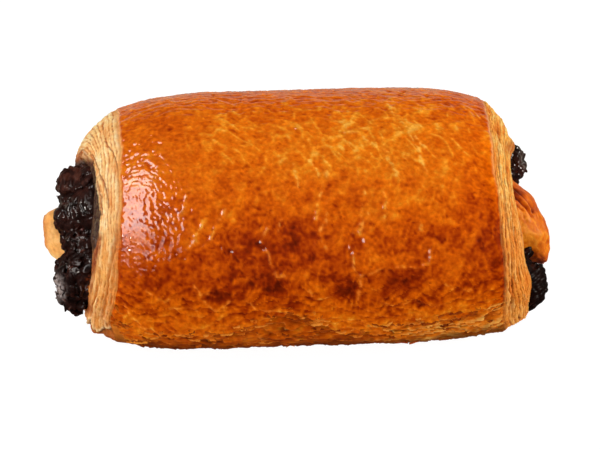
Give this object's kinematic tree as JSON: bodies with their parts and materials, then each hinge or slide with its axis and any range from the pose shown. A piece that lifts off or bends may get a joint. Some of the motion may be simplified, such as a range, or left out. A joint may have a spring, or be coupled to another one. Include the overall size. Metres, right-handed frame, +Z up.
{
  "type": "pain au chocolat",
  "caption": "Baked roll of laminated dough, glazed on top, with layered open ends and swollen chocolate batons coming out of both ends.",
  "frame": {"origin": "middle of the bounding box at the flat underside", "axes": "+X along the roll, from the end that shows two large chocolate lumps to the end with the large dough lobe; +Y across it, towards the picture's far side; +Z up"},
  "size_m": [0.1194, 0.066, 0.043],
  "materials": {
    "dough": null,
    "chocolate": null
  },
  "bodies": {
    "root": {"dough_roll": "dough", "chocolate_far": "chocolate", "chocolate_near": "chocolate"}
  },
  "joints": []
}
